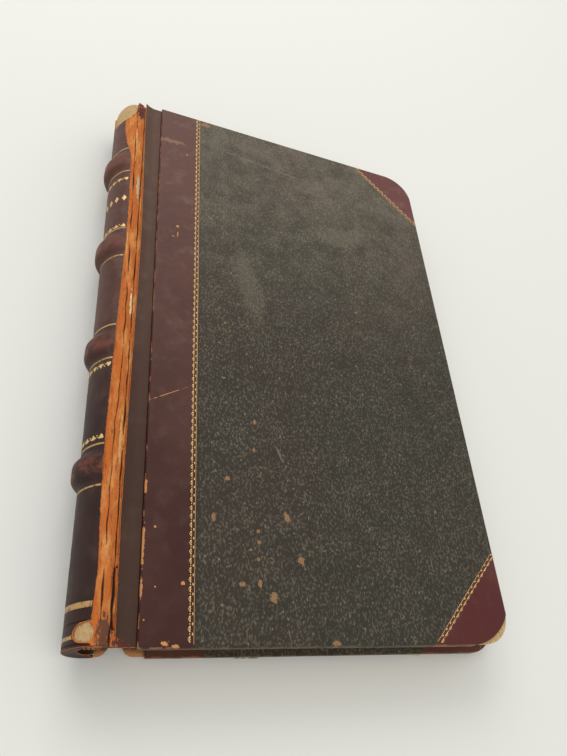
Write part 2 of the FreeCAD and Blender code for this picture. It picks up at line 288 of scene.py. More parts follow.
def board_leather_wear(tree, here, ragged):
    """Rubbed arrises and chips on the front cover's leather."""
    broken = fade(tree, field(tree, here, 7 * mm, 3.0), 0.48, 0.6)
    rim = rubbed_rim(tree, here, ragged, [(0, front_x), (1, tail_y), (1, head_y)], 1.2 * mm)
    rim = maths(tree, "MULTIPLY", maths(tree, "MULTIPLY", rim, broken), 0.6)
    chips = spots(tree, here, ragged, [
        (0.5, 75, 1.3, 10), (0.5, 46, 1.3, 24), (0.5, 26, 1.2, 10), (20.1, 28.1, 2.6, 1.6),
        (11.7, 1.9, 4, 2.4), (16.7, 1.0, 4, 1.8), (5.8, 54.3, 1.1, 1.1), (18.6, 320, 1.3, 1.1),
        (13.3, 251.3, 2.0, 3.0), (13.4, 244, 0.7, 4.5), (10.5, 242, 2.6, 0.6),
        (2.3, 11.9, 0.8, 0.8), (6.9, 26.3, 0.7, 0.7), (9.8, 127.7, 0.45, 22, -1.08)])
    worn = maths(tree, "MAXIMUM", chips, rim)
    return maths(tree, "MULTIPLY", worn, top_arris(tree, here))


def pebble_tops(tree):
    """Tops of the long slanting pebbles that are embossed in the cloth, 0 to 1."""
    slanted = place_on(tree, turn=math.radians(-38), stretch=(1, 0.62, 1))
    pebble = add(tree, "TexVoronoi", {"Vector": slanted, "Scale": 1 / (0.95 * mm), "Randomness": 0.9},
                 feature="SMOOTH_F1")
    return fade(tree, pebble, 0.5, 0.15)


def beyond_the_roll(tree, here, ragged, colour):
    """The strip's edge runs a little aslant: beyond the gilt roll it looks like the cloth."""
    edge = add(tree, "MapRange", {"Value": axis(tree, here, 1), "From Min": tail_y, "From Max": head_y,
                                  "To Min": front_x + 25.4 * mm, "To Max": front_x + 28.2 * mm})
    beyond = fade(tree, maths(tree, "SUBTRACT", axis(tree, here, 0), edge), 0.0, 0.3 * mm)
    tan = spots(tree, here, ragged, [(8, 330, 17, 4.4)])
    colour = mixed(tree, maths(tree, "MULTIPLY", tan, 0.45), colour, linear((158, 118, 88)))
    tops = maths(tree, "MULTIPLY", pebble_tops(tree), 0.45)
    return mixed(tree, beyond, colour, mixed(tree, tops, linear((46, 39, 30)), linear((98, 89, 74))))


def cover_edge_wear(tree, here, ragged):
    """Rubbed rim all round a cover."""
    rim = rubbed_rim(tree, here, ragged, [(0, fore_x), (1, tail_y), (1, head_y)], 1.4 * mm)
    broken = fade(tree, field(tree, here, 6 * mm, 3.0), 0.42, 0.56)
    return maths(tree, "MULTIPLY", maths(tree, "MULTIPLY", rim, broken), 0.26)


board_leather = leather("board_leather", (60, 27, 22), (92, 57, 47), board_leather_wear, beyond_the_roll)
corner_leather = leather("corner_leather", (80, 28, 26), (100, 54, 50), cover_edge_wear)
back_leather = leather("back_leather", (80, 44, 34), (100, 62, 48), cover_edge_wear)
print("leather finishes:", board_leather.name, corner_leather.name, back_leather.name)

# %% [markdown]
# The sides are book cloth, embossed to look like pebbled goatskin. The pebbles are long cells
# that lie aslant, and their tops are rubbed pale where hands and shelves have been. There are
# tens of thousands of them, so they are a bump in the finish and not modelled one by one.

# %% Cloth
def pebbled_cloth(name, marks):
    material, tree, shader = finish_named(name)
    here = place_on(tree)
    fine = field(tree, here, 2.6 * mm, 2.0)
    drift = field(tree, here, 60 * mm, 4.0, 0.6)
    cloud = field(tree, here, 14 * mm, 5.0, 0.65)
    ragged = field(tree, here, 1.8 * mm, 4.0, 0.7)
    tops = pebble_tops(tree)
    colour = mixed(tree, fade(tree, drift, 0.38, 0.62), linear((46, 36, 27)), linear((39, 37, 26)))
    # Towards the head the rubbed tops are paler: real wear, with a painted sheen of the window's light.
    toward_head = fade(tree, axis(tree, here, 1), tail_y + 150 * mm, head_y)
    hands = maths(tree, "MULTIPLY_ADD", fade(tree, cloud, 0.35, 0.65), 0.35, 0.5)
    rubbed = maths(tree, "MULTIPLY", tops, hands)
    rubbed = maths(tree, "MULTIPLY", rubbed, maths(tree, "MULTIPLY_ADD", toward_head, 0.25, 0.8))
    colour = mixed(tree, rubbed, colour, linear((108, 98, 81)))
    streak = spots(tree, here, ragged, [(75.9, 331.2, 1.2, 78, -1.69), (73.5, 99, 1.4, 13, 0.4)])
    colour = mixed(tree, maths(tree, "MULTIPLY", streak, 0.3), colour, linear((150, 140, 120)))
    # A pale haze that thickens towards the head: dust, and a painted sheen of the window's light.
    dust_and_sheen_haze = maths(tree, "MULTIPLY", fade(tree, cloud, 0.0, 1.1),
                 maths(tree, "MULTIPLY_ADD", toward_head, 0.62, 0.08))
    colour = mixed(tree, dust_and_sheen_haze, colour, linear((132, 119, 102)))
    pale = spots(tree, here, ragged, [
        (112, 322, 26, 13, 0.5), (134, 278, 40, 18, 0.3), (60, 215, 16, 60, 0.2)])
    colour = mixed(tree, maths(tree, "MULTIPLY", pale, 0.14), colour, linear((150, 138, 118)))
    speckle = maths(tree, "MULTIPLY", tops, fade(tree, fine, 0.6, 0.7))
    colour = mixed(tree, maths(tree, "MULTIPLY", speckle, 0.4), colour, linear((158, 150, 126)))
    rim = maths(tree, "MULTIPLY", cover_edge_wear(tree, here, ragged), 0.7)
    chips = maths(tree, "MULTIPLY", spots(tree, here, ragged, marks), 0.85)
    colour = mixed(tree, rim, colour, linear((150, 128, 92)))
    colour = mixed(tree, chips, colour, mixed(tree, ragged, linear((138, 88, 50)), linear((160, 132, 96))))
    height = maths(tree, "SUBTRACT", tops, maths(tree, "MULTIPLY", chips, 0.8))
    feed(tree, shader, Base_Color=colour, Roughness=0.62, Specular_IOR_Level=0.3,
         Normal=bumped(tree, height, 0.25 * mm))
    return material


front_marks = [
    (32.2, 357.6, 8, 5), (97.3, 1.3, 5, 3), (43.6, 182.1, 1.6, 2.4), (59.5, 117.4, 2, 3),
    (58.3, 100.2, 1.8, 3), (42.6, 82.5, 3.4, 3), (35, 61, 2.4, 4.2), (75.2, 63.3, 3.2, 5.4, 0.3),
    (58.7, 55, 2, 1.8), (58.8, 49.4, 2.2, 2.2), (54.3, 45.5, 1.8, 1.6), (58.3, 40.8, 2, 1.8),
    (81.6, 41.1, 3.6, 4.6, 0.5), (49.2, 28.5, 3.6, 2.4, 0.4), (58.4, 29, 2.4, 4),
    (65.3, 22.3, 4.4, 5), (37.5, 40, 1, 1.4), (38.9, 18.8, 1, 1.2)]
front_cloth = pebbled_cloth("front_cloth", front_marks)
back_cloth = pebbled_cloth("back_cloth", [(60, 60, 3, 4), (130, 210, 5, 3, 0.4), (90, 300, 2.5, 2.5)])
print("cloth finishes:", front_cloth.name, "with", len(front_marks), "chips, and", back_cloth.name)

# %% [markdown]
# Under the leather are millboard, paper and linen. Millboard is grey-brown pulp with darker
# shreds. The cut edges of the leaves are made later as real ridges, so their paper only needs
# its colour, browner at the outside.

# %% Board, paper and linen
def millboard():
    material, tree, shader = finish_named("millboard")
    here = place_on(tree)
    pulp = field(tree, here, 1.2 * mm, 5.0, 0.7)
    shreds = field(tree, place_on(tree, stretch=(1, 1, 6)), 3 * mm, 4.0, 0.6)
    colour = mixed(tree, fade(tree, pulp, 0.35, 0.7), linear((172, 140, 94)), linear((202, 170, 122)))
    colour = mixed(tree, fade(tree, shreds, 0.55, 0.75), colour, linear((140, 104, 66)))
    feed(tree, shader, Base_Color=colour, Roughness=0.9, Normal=bumped(tree, pulp, 0.2 * mm))
    return material


def paper(name, pale, brown, size, edge_and_back_darkening=0.0):
    """Old paper; the last number sets how brown the leaf edges are and how dark the leaves are near their
    backs at the tail.
    """
    material, tree, shader = finish_named(name)
    here = place_on(tree)
    stain = field(tree, here, size, 5.0, 0.6)
    fibre = field(tree, here, 0.4 * mm, 3.0)
    colour = mixed(tree, fade(tree, stain, 0.48, 0.9), linear(pale), linear(brown))
    leaf = field(tree, place_on(tree, stretch=(0.02, 0.02, 1)), 0.5 * mm, 4.0, 0.7)
    edges = maths(tree, "MULTIPLY", fade(tree, leaf, 0.42, 0.62), edge_and_back_darkening * 0.6)
    colour = mixed(tree, edges, colour, linear(brown))
    # The leaves are painted darker near their backs at the tail.
    from_end = maths(tree, "SUBTRACT", tail_y + 12 * mm, axis(tree, here, 1))
    creep = maths(tree, "MULTIPLY", field(tree, place_on(tree, stretch=(0.3, 1, 1)), 2 * mm, 4.0), 16 * mm)
    from_back = maths(tree, "ADD", axis(tree, here, 0), creep)
    near_back = fade(tree, from_back, front_x + 18 * mm, front_x + 6 * mm)
    dark_back_at_tail = maths(tree, "MULTIPLY", fade(tree, from_end, 0.0, 6 * mm), near_back)
    colour = mixed(tree, maths(tree, "MULTIPLY", dark_back_at_tail, edge_and_back_darkening), colour, linear((62, 34, 22)))
    feed(tree, shader, Base_Color=colour, Roughness=0.85, Normal=bumped(tree, fibre, 0.04 * mm))
    return material


# %% [markdown]
# The tapes are woven linen. Two sine waves that cross make the over and under of its threads,
# which is enough for a tape that shows only when the book is opened.

# %% Linen
def woven_linen():
    material, tree, shader = finish_named("linen")
    here = place_on(tree)
    threads = []
    for index in (1, 2):
        turns = maths(tree, "MULTIPLY", axis(tree, here, index), math.tau / (0.7 * mm))
        threads.append(maths(tree, "ABSOLUTE", maths(tree, "SINE", turns)))
    weave = maths(tree, "MULTIPLY", threads[0], threads[1])
    colour = mixed(tree, weave, linear((150, 130, 96)), linear((196, 178, 140)))
    feed(tree, shader, Base_Color=colour, Roughness=0.9, Normal=bumped(tree, weave, 0.15 * mm))
    return material


board_finish = millboard()
leaf_paper = paper("leaf_paper", (212, 192, 152), (164, 134, 92), 16 * mm, 0.9)
endpaper = paper("endpaper", (204, 190, 160), (172, 150, 116), 40 * mm)
lining_paper = paper("lining_paper", (158, 136, 104), (116, 88, 62), 10 * mm, 0.9)
linen = woven_linen()
print("finishes under the leather:", board_finish.name, leaf_paper.name, endpaper.name, linen.name)

# %% [markdown]
# Boards, cloth, corners, endpapers, tapes and linings already have the right shape, so they
# keep their solids and only get a finish in their material slot. Front and back are twins in
# shape but not in colour: the back is browner.

# %% Finishes on the solids
def dress(node_name, material):
    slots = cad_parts[node_name].data.materials
    slots.clear()
    slots.append(material)


for side, cloth, strip, corner in (("front", front_cloth, board_leather, corner_leather),
                                   ("back", back_cloth, back_leather, back_leather)):
    dress(side + "_cloth_side", cloth)
    dress(side + "_board_leather", strip)
    dress(side + "_head_corner", corner)
    dress(side + "_tail_corner", corner)
    dress(side + "_board", board_finish)
    dress(side + "_pastedown", endpaper)
    dress(side + "_flyleaf", endpaper)
dress("spine_shell", board_finish)
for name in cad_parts:
    if name.startswith("sewing_tape"):
        dress(name, linen)
    if name.startswith("spine_lining"):
        dress(name, lining_paper)
    if name.startswith("raised_band"):
        dress(name, board_finish)
print("dressed", len(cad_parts), "nodes")

# %% [markdown]
# New pieces start as a bmesh. Each one becomes an object at the origin, with its place in its
# mesh, and is told which body carries it and which solids it stands for.

# %% Making a piece
def new_piece(name, bm, materials, body=None, replaces=()):
    """Object from a bmesh, at the origin, riding on a body."""
    mesh = bpy.data.meshes.new(name)
    bm.to_mesh(mesh)
    bm.free()
    for material in materials:
        mesh.materials.append(material)
    mesh.shade_smooth()
    piece = bpy.data.objects.new(name, mesh)
    bpy.context.scene.collection.objects.link(piece)
    if body is not None:
        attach(piece, body)
    if replaces:
        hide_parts(*replaces)
    print(name, len(mesh.polygons), "faces")
    return piece


# %% [markdown]
# A sheet of leather is a flat grid whose points are laid on a curved form by a function, as a
# binder lays the wet skin. A cloth simulation could drape it too, but a function puts the torn
# edge exactly where it is on the real book. A Solidify modifier gives the sheet its thickness
# and shows raw leather on its cut rim.

# %% Sheets
def laid_sheet(columns, rows, lay, mark=None):
    """Grid with its points moved to lay(across, along), both from 0 to 1. A mark function gives
    each point a number that the finish can read."""
    bm = bmesh.new()
    bmesh.ops.create_grid(bm, x_segments=columns, y_segments=rows, size=0.5)
    marks = bm.verts.layers.float.new("mark") if mark else None
    for vertex in bm.verts:
        across, along = vertex.co.x + 0.5, vertex.co.y + 0.5
        if mark:
            vertex[marks] = mark(across, along)
        vertex.co = lay(across, along)
    return bm


def joined(sheets):
    """One bmesh from several."""
    whole = bmesh.new()
    for sheet in sheets:
        mesh = bpy.data.meshes.new("sheet")
        sheet.to_mesh(mesh)
        sheet.free()
        whole.from_mesh(mesh)
        bpy.data.meshes.remove(mesh)
    return whole


def shifted(y, fixed, end, new_end):
    """y drawn along so that end lands on new_end while fixed stays."""
    return y + (new_end - end) * min(max((y - fixed) / (end - fixed), 0), 1)


def thicken(piece, thickness, rim=0):
    """Thickness to the inside of the sheet; rim is the material step on its cut edge."""
    solidify = piece.modifiers.new("thickness", "SOLIDIFY")
    solidify.thickness = thickness
    solidify.offset = -1.0
    solidify.material_offset_rim = rim
    return solidify


def rough(place, size, seed=0.0):
    """Smooth noise from -1 to 1 with lumps about size metres across."""
    return noise.noise(Vector(place) / size + Vector((seed, seed * 1.7, -seed)))


# %% [markdown]
# The spine's section is an oval of four arcs: two small ones over the shoulders and two wide
# ones down the flanks. A point on it is found from the direction in which the leather faces,
# 0 degrees to the left and 90 straight up. A raised band swells the same oval.

# %% The form of the spine
spine_half_depth = 12 * mm
spine_half_height = 17.75 * mm
shoulder_radius = 8.25 * mm
band_places = [tail_y + (83 + 71.3 * index) * mm for index in range(4)]
band_half_width = 8.5 * mm
band_height = 3.7 * mm
band_end_height = 0.8 * mm
spine_tail_y = tail_y + 1 * mm
spine_head_y = head_y - 7.5 * mm


def band_swell(y):
    """1 on the crown of a raised band, 0 between bands."""
    away = min(abs(y - place) for place in band_places) / band_half_width
    return 0.5 + 0.5 * math.cos(math.pi * away ** 2.2) if away < 1 else 0.0


def spine_point(facing, y, out=0.0):
    """Point on the spine's skin, out metres proud of it."""
    swell = band_swell(y)
    depth = spine_half_depth + swell * band_height
    height = spine_half_height + swell * band_end_height
    rise = height - shoulder_radius
    longer = height - depth
    past = longer * (2 * rise - longer) / (2 * (rise - longer))
    if abs(facing) < math.atan2(rise, past):
        reach, centre_x, centre_z = depth + past, past, 0.0
    else:
        reach, centre_x, centre_z = shoulder_radius, 0.0, math.copysign(rise, facing)
    reach += out
    return Vector((spine_x + centre_x - math.cos(facing) * reach, y,
                   spine_z + centre_z + math.sin(facing) * reach))


facings = np.radians(np.linspace(20, 125, 106))
facing_backs = [(front_x - spine_point(facing, tail_y).x) / mm for facing in facings]


def facing_at(back, side=1):
    """Facing of the upper (or, with side -1, lower) skin, back millimetres behind the cover."""
    return side * float(np.interp(-back, [-far for far in facing_backs], facings))


print("torn edge faces", round(math.degrees(facing_at(20))), "degrees up")

# %% [markdown]
# The spine leather runs from its lower lip round the back to a torn edge on the upper
# shoulder. The tear wanders, and it bites round a hole at the tail. At the head the upper
# half of the leather is lost. Near the tear the leather has dried and lifts a little. The
# frame's solid has clean edges, so the skin is laid anew as a sheet that can wander and lift.

# %% Spine leather
tear_ups = (0, 14, 33, 65, 102, 157, 200, 246, 285, 303, 313, 334, 362)
tear_backs = (20.2, 20.6, 19.6, 20.8, 21.1, 20.3, 19.4, 18.7, 19.3, 20.2, 22.6, 24.3, 24.6)
patch_up, patch_back, patch_half_length, patch_half_width = 6.6, 23.2, 4.4, 4.0


def tear_back(y):
    """How far the torn edge lies behind the cover, in millimetres."""
    up = (y - tail_y) / mm
    back = float(np.interp(up, tear_ups, tear_backs))
    back += 0.35 * rough((0, y, 0), 3 * mm, 1.0) + 0.25 * rough((0, y, 0), 1.1 * mm, 2.0)
    off = (up - patch_up) / patch_half_length
    if abs(off) < 1:
        back = max(back, patch_back + patch_half_width * math.sqrt(1 - off * off))
    return back


lower_lip = facing_at(14, -1)
turned_in = 6 * mm
head_loss = 17 * mm


def leather_head(facing):
    """Where the leather ends at the head, for each facing; lost on the upper half."""
    lost = np.clip((math.degrees(facing) + 4) / 16, 0, 1)
    ragged = 0.9 * mm * rough((facing * 12 * mm, 0, 0), 2.2 * mm, 5.0)
    return spine_head_y - head_loss * lost * lost * (3 - 2 * lost) + (ragged if lost > 0 else 0)


def skin_point(facing, y, out=0.0):
    """Point on the worn skin: lifted beside the tear, and a little uneven."""
    from_tear = (facing_at(tear_back(y)) - facing) * 12 * mm
    lift = 0.5 * mm * math.exp(-max(from_tear, 0) / (1.4 * mm))
    lift *= 0.5 + 0.5 * rough((0, y, 0), 7 * mm, 3.0)
    crease = 0.12 * mm * rough((facing * 14 * mm, y, 0), 6 * mm, 4.0)
    return spine_point(facing, y, lift + crease + out)


def lay_spine_leather(across, along):
    y = spine_tail_y + (spine_head_y - spine_tail_y) * along
    edge = facing_at(tear_back(y))
    facing = lower_lip + (edge - lower_lip) * across
    y = shifted(y, spine_head_y - 40 * mm, spine_head_y, leather_head(facing))
    return skin_point(facing, y)


def worn_crowns(tree, here, ragged, colour):
    """The raised bands are rubbed to a reddish brown."""
    along = axis(tree, here, 1)
    rubbed = 0.0
    for place in band_places:
        gap = maths(tree, "ABSOLUTE", maths(tree, "SUBTRACT", along, place))
        rubbed = maths(tree, "MAXIMUM", rubbed, fade(tree, gap, 7 * mm, 2 * mm))
    cloud = fade(tree, field(tree, here, 6 * mm, 4.0, 0.65), 0.38, 0.58)
    share = maths(tree, "MULTIPLY", maths(tree, "MULTIPLY", rubbed, cloud), 0.75)
    return mixed(tree, share, colour, linear((108, 58, 42)))


# The spine is painted much darker towards the tail: painted shade for the dark surroundings its gloss
# reflects there.
spine_leather_finish = leather("spine_leather", (34, 11, 6), (84, 48, 38), tint=worn_crowns, gloss=0.5)
raw_rim = leather("raw_rim", (190, 108, 50), (210, 140, 80), gloss=0.9, head_dust_and_sheen=0.1)
bm = laid_sheet(72, 440, lay_spine_leather)
spine_cover = new_piece("spine_cover", bm, [spine_leather_finish, raw_rim],
                        "text_block", ["spine_leather"])
thicken(spine_cover, 0.9 * mm, 1)

# %% [markdown]
# At the tail the leather is turned in over the end of the rolled board, and its inner edge is
# ragged. What is left of it at the head is turned in the same way.

# %% Turned-in ends
def turned_in_end(y, way, first, last, reach, seed):
    """Cap over the spine's end at y between two facings, reach millimetres deep."""
    def lay(across, along):
        facing = first + (last - first) * across
        deep = reach + 1.4 * rough((facing * 14 * mm, 0, 0), 3 * mm, seed)
        deep += 0.5 * rough((facing, 0, 0), 0.08, seed)
        out = -0.3 - (deep - 0.3) * along
        bulge = 0.35 * math.sin(math.pi * min(1.0, along * 1.6)) - 0.5 * along
        return spine_point(facing, y + way * bulge * mm, out * mm)
    return laid_sheet(90, 10, lay)


tail_mouth = facing_at(tear_back(spine_tail_y))
caps = joined([turned_in_end(spine_tail_y, -1, lower_lip, tail_mouth, 6.5, 61.0),
               turned_in_end(spine_head_y, 1, lower_lip, math.radians(-8), 4.5, 62.0)])
cap_finish = leather("cap_leather", (58, 34, 26), (80, 54, 44), gloss=0.6)
turned_in_ends = new_piece("turned_in_ends", caps, [cap_finish, raw_rim], "text_block")
thicken(turned_in_ends, 0.4 * mm, 1).offset = 0.0

# %% [markdown]
# Along the front joint the grain has peeled off and the raw layer shows, orange and
# fibrous, from the tear down into the groove. It has split lengthwise in two places, and at
# its ends it is gone where the spine leather is gone. The strip has to bend when the cover
# opens.

# %% Raw layer of the front joint
groove_floor = cover_top - 2.2 * mm
joint_head_y = head_y - 1.5 * mm
shoulder_back = 14.0


def joint_height(back):
    """Height of the raw layer over the groove, back millimetres behind the cover."""
    if back >= shoulder_back:
        return spine_point(facing_at(back), tail_y, -0.35 * mm).z
    start = spine_point(facing_at(shoulder_back), tail_y, -0.35 * mm).z
    share = max(0.0, (back - 5) / (shoulder_back - 5))
    return groove_floor + (start - groove_floor) * share ** 1.7


# %% [markdown]
# The splits are grooves that wander along the layer. Each point of the sheet is lowered by how
# deep it lies in a split, and carries that depth for the finish to paint shade down in it.

# %% Splits in the raw layer
crack_ups = (0, 105, 120, 164, 242, 300, 362)
crack_backs = (16.8, 17.1, 16.0, 15.6, 16.4, 17.3, 17.6)


def crack(back, y, ups, backs, half_width, seed):
    """How far into a lengthwise split a point is, 0 to 1."""
    middle = float(np.interp((y - tail_y) / mm, ups, backs)) + 0.5 * rough((0, y, 0), 9 * mm, seed)
    width = half_width * (0.5 + 1.3 * rough((0, y, 0), 16 * mm, seed + 1))
    return max(0.0, 1 - abs(back - middle) / max(width, 0.05)) if width > 0 else 0.0


def raw_start(y):
    """Left edge of the raw layer: under the tear, but clear of the holes at tail and head."""
    up, down = (y - tail_y) / mm, (head_y - y) / mm
    back = tear_back(y) + 0.5
    off = (up - patch_up) / patch_half_length
    if abs(off) < 1:
        back = patch_back - patch_half_width * math.sqrt(1 - off * off)
    if down < 25:
        back = float(np.interp(down, (0, 10, 17, 22.5, 25), (17.2, 17.6, 18.6, 22, 26.5)))
    return back + 0.3 * rough((0, y, 0), 1.5 * mm, 8.0)


def on_raw_layer(across, along):
    """Place on the raw layer: millimetres behind the cover, and along the book."""
    y = spine_tail_y + (joint_head_y - spine_tail_y) * along
    start = raw_start(y)
    back = start + (0.3 - start) * across
    short = 4.5 * mm * float(np.clip((back - 10.5) / 2, 0, 1))
    return back, shifted(y, head_y - 20 * mm, joint_head_y, joint_head_y - short)


def raw_split(across, along):
    """1 down in a split of the raw layer, 0 on its surface."""
    back, y = on_raw_layer(across, along)
    split = crack(back, y, crack_ups, crack_backs, 0.6, 11.0)
    lip = crack(back, y, (0, 40, 362), (12.2, 12.0, 11.8), 0.65, 13.0)
    gap = 0.0
    if 8 < (y - tail_y) / mm < 36:
        gap = crack(back, y, (0, 8, 9, 34, 36, 362), (9, 11, 11.6, 11.8, 9, 9), 1.5, 14.0)
    return min(1.0, 1.7 * max(split, lip, gap))


def lay_raw_layer(across, along):
    back, y = on_raw_layer(across, along)
    depth = 0.2 * mm if back > shoulder_back else 1.3 * mm
    fibre = 0.18 * mm * rough((back * mm * 4, y * 0.5, 0), 1.4 * mm, 6.0)
    fibre += 0.14 * mm * rough((back * mm, y, 0), 5 * mm, 7.0)
    return Vector((front_x - back * mm, y, joint_height(back) + fibre - depth * raw_split(across, along)))


# %% [markdown]
# The fibres of the raw layer run lengthwise, so its noise is drawn out along the book. Scraps
# of the paper lining cling to it in a few places and are spots of their own colours.

# %% Finish of the raw layer
raw_patches = [
    ((190, 178, 142), [(-13.75, 274.5, 1.8, 22)]),
    ((238, 204, 152), [(-12.8, 183, 2.0, 18.5)]),
    ((210, 166, 104), [(-13.5, 97.5, 1.4, 24), (-17, 320, 1.2, 20), (-18, 225, 1, 18)]),
    ((104, 66, 48), [(-15, 6, 7, 15)]),
    ((92, 50, 42), [(-14.7, 348, 5.4, 15), (-6.5, 2.6, 9, 4.6)])]


def raw_leather():
    """Orange fibres that run lengthwise, with painted shade down in the splits, and patches of lining."""
    material, tree, shader = finish_named("raw_leather")
    here = place_on(tree)
    ragged = field(tree, place_on(tree, stretch=(1, 0.4, 1)), 1.4 * mm, 4.0, 0.65)
    drawn = place_on(tree, stretch=(1, 0.12, 1))
    fibre = field(tree, drawn, 0.9 * mm, 5.0, 0.7)
    patch = field(tree, place_on(tree, stretch=(1, 0.35, 1)), 7 * mm, 4.0, 0.6)
    fluff = field(tree, here, 0.7 * mm, 3.0, 0.7)
    colour = mixed(tree, fade(tree, patch, 0.45, 0.68), linear((190, 102, 42)), linear((212, 142, 78)))
    colour = mixed(tree, fade(tree, fibre, 0.48, 0.3), colour, linear((122, 60, 24)))
    fluffy = maths(tree, "MULTIPLY", fade(tree, fluff, 0.55, 0.75), 0.35)
    colour = mixed(tree, fluffy, colour, linear((226, 172, 112)))
    for stain, marks in raw_patches:
        colour = mixed(tree, spots(tree, here, ragged, marks), colour, linear(stain))
    # Down in the splits the colour is painted dark: painted shade.
    split = add(tree, "Attribute", {}, "Fac", attribute_name="mark")
    colour = mixed(tree, split, colour, linear((44, 20, 10)))
    height = maths(tree, "ADD", fibre, maths(tree, "MULTIPLY", fluff, 0.5))
    feed(tree, shader, Base_Color=colour, Roughness=0.88, Specular_IOR_Level=0.25,
         Normal=bumped(tree, height, 0.3 * mm))
    return material


raw_finish = raw_leather()
bm = laid_sheet(72, 460, lay_raw_layer, raw_split)
raw_layer = new_piece("raw_joint_layer", bm, [raw_finish], None,
                      ["front_joint_raw_layer"])
thicken(raw_layer, 0.55 * mm)
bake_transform(raw_layer)

# %% [markdown]
# On top of it lies what is left of the grained leather: a dark strip in the groove, with a
# ragged, slightly curled left edge. At the tail it is torn off aslant.

# %% Grained strip in the groove
strip_ups = (0, 60, 129, 200, 242, 300, 342, 362)
strip_backs = (9.6, 10.6, 10.2, 9.4, 9.4, 10.6, 11.6, 11.4)


def lay_groove_strip(across, along):
    y = spine_tail_y + (joint_head_y - spine_tail_y) * along
    start = float(np.interp((y - tail_y) / mm, strip_ups, strip_backs))
    start += 0.25 * rough((0, y, 0), 4 * mm, 21.0) + 0.15 * rough((0, y, 0), 1.3 * mm, 22.0)
    back = start + (0.15 - start) * across
    torn_off = 1.0 + 0.54 * max(0.0, back - 2) + 0.5 * rough((back * mm, 0, 0), 2 * mm, 25.0)
    y = shifted(y, tail_y + 20 * mm, spine_tail_y, tail_y + torn_off * mm)
    curl = 0.45 * mm * math.exp(-(start - back) / 0.7) * (0.7 + 0.5 * rough((0, y, 0), 9 * mm, 23.0))
    wave = 0.1 * mm * rough((back * mm, y, 0), 5 * mm, 24.0)
    return Vector((front_x - back * mm, y, joint_height(back) + 0.5 * mm + curl + wave))


strip_finish = leather("groove_strip", (62, 40, 30), (86, 60, 46), gloss=0.6, head_dust_and_sheen=0.15)
bm = laid_sheet(28, 400, lay_groove_strip)
groove_strip = new_piece("groove_strip", bm, [strip_finish, raw_rim], None,
                         ["front_joint_leather"])
thicken(groove_strip, 0.4 * mm, 1)
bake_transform(groove_strip)

# %% [markdown]
# The back joint is still whole but for a notch and some lost grain at the tail. Its leather
# comes round from the spine's lower lip and runs flat along the table to the back cover.

# %% Back joint
back_lip = spine_point(lower_lip, tail_y)
back_end = Vector((back_x - 0.3 * mm, 0, 1.2 * mm))


def lay_back_joint(across, along):
    y = spine_tail_y + (spine_head_y - spine_tail_y) * along
    x = back_lip.x - 0.3 * mm + (back_end.x - back_lip.x + 0.3 * mm) * across
    notch = math.exp(-((across - 0.42) / 0.16) ** 2)
    y = shifted(y, tail_y + 40 * mm, spine_tail_y, spine_tail_y + 9 * mm * notch)
    sag = max(0.0, 1 - across / 0.55)
    z = back_end.z + (back_lip.z - back_end.z) * sag ** 1.6
    return Vector((x, y, z + 0.08 * mm * rough((x, y, 0), 6 * mm, 31.0)))


def peeled_tail(tree, here, ragged):
    """The joint's leather has lost its grain at the tail."""
    gap = maths(tree, "SUBTRACT", axis(tree, here, 1), tail_y)
    gap = maths(tree, "ADD", gap, maths(tree, "MULTIPLY", ragged, 6 * mm))
    return maths(tree, "MULTIPLY", fade(tree, gap, 9 * mm, 5 * mm), 0.8)


joint_leather = leather("back_joint_leather", (74, 42, 32), (92, 58, 46), peeled_tail)
bm = laid_sheet(20, 180, lay_back_joint)
bmesh.ops.reverse_faces(bm, faces=bm.faces)
back_joint = new_piece("back_joint", bm, [joint_leather, raw_rim], None,
                       ["back_joint_leather"])
thicken(back_joint, 0.9 * mm, 1)
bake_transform(back_joint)

# %% [markdown]
# The leaves show only at their edges. Hundreds of single sheets would be too many faces and a
# striped box would look flat, so the block is built as a ring of ridges: each row of
# faces is one thin bundle of leaves that stands a little proud of its neighbour. Its top and
# bottom are single leaves. Towards the spine the leaves fan out over the shoulders.

# %% Leaves
block_low, block_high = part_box("text_block")
body_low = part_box("back_flyleaf")[1].z
body_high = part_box("front_flyleaf")[0].z
fore_top = block_high.x - 10 * mm
fore_low = block_high.x
fan_start = front_x - 6 * mm
leaf_rows = 88
sections_turn = math.radians(95)
behind_leather = 3.75 * mm


def leaf_end(share):
    """Fore-edge of a leaf: hollow, and pushed over because the book leans."""
    hollow = 5 * mm * math.sin(math.pi * share)
    return fore_low + (fore_top - fore_low) * share - hollow


def leaf_back(share):
    """Back of a leaf inside the spine, on the rounded sections."""
    return spine_point(sections_turn * (share - 0.5) * 2, tail_y, -behind_leather)


def leaf_point(share, out_along):
    """Point of one leaf, out_along 0 at its back and 1 at its fore-edge."""
    flat_z = body_low + (body_high - body_low) * share
    back = leaf_back(share)
    x = back.x + (leaf_end(share) - back.x) * out_along
    bend = np.clip((x - back.x) / (fan_start - back.x), 0, 1)
    z = back.z + (flat_z - back.z) * bend * bend * (3 - 2 * bend)
    return x, z


side_columns = 40
length_columns = 60
ring = [(index / side_columns, 0.0) for index in range(side_columns)]
ring += [(1.0, index / length_columns) for index in range(length_columns)]
ring += [(1 - index / side_columns, 1.0) for index in range(side_columns)]
ring += [(0.0, 1 - index / length_columns) for index in range(length_columns)]


